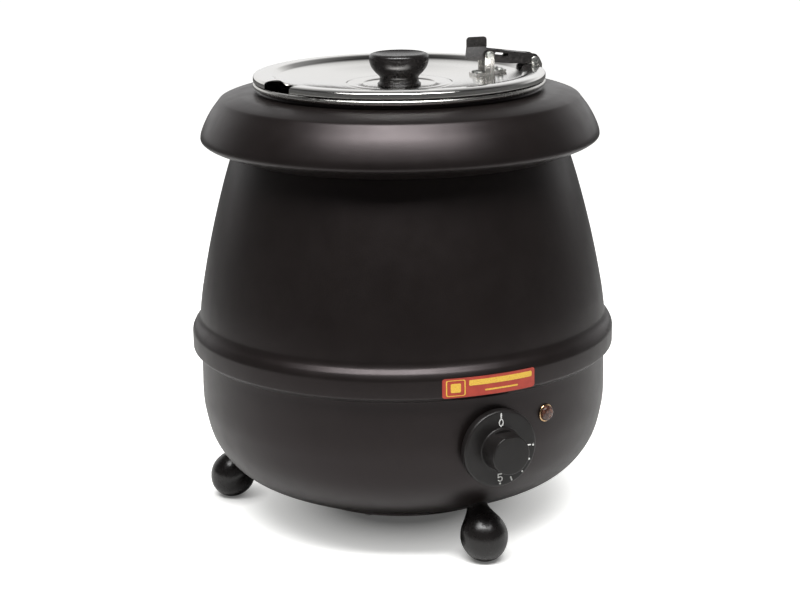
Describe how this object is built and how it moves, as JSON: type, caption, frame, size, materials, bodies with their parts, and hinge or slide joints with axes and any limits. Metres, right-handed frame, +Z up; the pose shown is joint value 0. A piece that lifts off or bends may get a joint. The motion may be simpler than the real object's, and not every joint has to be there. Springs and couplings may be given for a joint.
{
  "type": "soup kettle",
  "caption": "Round electric soup kettle: black shell on ball feet, lift-out steel pot, hinged lid with a ladle notch and black knob, front thermostat dial and pilot lamp.",
  "frame": {"origin": "on the surface it stands on, under the middle of the kettle", "axes": "+Z up along the kettle's axis, the dial faces -Y, +X to the right of somebody facing the dial"},
  "size_m": [0.34, 0.3786, 0.3815],
  "materials": {
    "shell_paint": "semi-gloss black powder coat with a fine texture",
    "gasket_rubber": "matt",
    "satin_steel": "satin stainless steel",
    "bright_steel": "polished stainless steel",
    "mirror_steel": "mirror-polished stainless steel",
    "zinc_steel": "zinc-plated steel",
    "heater_steel": "heat-tinted sheath",
    "cast_aluminium": "cast, satin",
    "copper_tube": "drawn copper",
    "bakelite": "glossy black moulded phenolic",
    "white_print": "raised white print",
    "white_ceramic": "unglazed steatite",
    "gilt_bezel": "gilt plated",
    "amber_lens": "amber faceted lens",
    "lamp_plastic": "moulded polyamide",
    "label_red": "printed film",
    "label_yellow": "printed film",
    "gland_plastic": "moulded polyamide",
    "arm_paint": "black finished steel"
  },
  "bodies": {
    "kettle": {"base_shell": "shell_paint", "upper_shell": "shell_paint", "collar": "shell_paint", "base_plate": "shell_paint", "neck_gasket": "gasket_rubber", "water_well": "satin_steel", "base_plate_screws": "zinc_steel", "foot_front": "bakelite", "foot_left": "bakelite", "foot_right": "bakelite", "foot_studs": "zinc_steel", "foot_washers": "zinc_steel", "foot_nuts": "zinc_steel", "spreader_plate": "cast_aluminium", "heating_element": "heater_steel", "clamp_bar": "zinc_steel", "tie_stud": "zinc_steel", "clamp_nut": "zinc_steel", "base_nut": "zinc_steel", "thermal_cutout": "white_ceramic", "thermostat_body": "white_ceramic", "thermostat_nut": "zinc_steel", "thermostat_bulb": "copper_tube", "pilot_bezel": "gilt_bezel", "pilot_lens": "amber_lens", "pilot_lamp": "lamp_plastic", "label_plate": "label_red", "label_marks": "label_yellow", "cord_gland": "gland_plastic", "gland_nut": "gland_plastic", "terminal_block": "lamp_plastic", "terminal_screws": "zinc_steel"},
    "pot": {"soup_pot": "bright_steel", "rim_clip": "bright_steel", "rim_pin": "zinc_steel"},
    "lid": {"lid": "mirror_steel", "lid_knob": "bakelite", "knob_screw": "zinc_steel", "knob_washer": "zinc_steel", "ear_bracket": "bright_steel", "ear_rivets": "zinc_steel", "ear_pin": "zinc_steel", "hinge_arm": "arm_paint"},
    "dial": {"dial": "bakelite", "dial_marks": "white_print", "thermostat_shaft": "zinc_steel"}
  },
  "joints": [
    {"name": "pot_lift", "type": "slide", "parent": "kettle", "child": "pot", "axis": [0, 0, 1], "range_m": [0, 0.3]},
    {"name": "lid_hinge", "type": "hinge", "parent": "pot", "child": "lid", "pos_m": [0.11124, -0.01307, 0.3614], "axis": [0.1167, 0.9932, 0], "range_deg": [0, 100]},
    {"name": "dial_turn", "type": "hinge", "parent": "kettle", "child": "dial", "pos_m": [0, -0.17, 0.098], "axis": [0, -1, 0], "range_deg": [0, 182]}
  ]
}
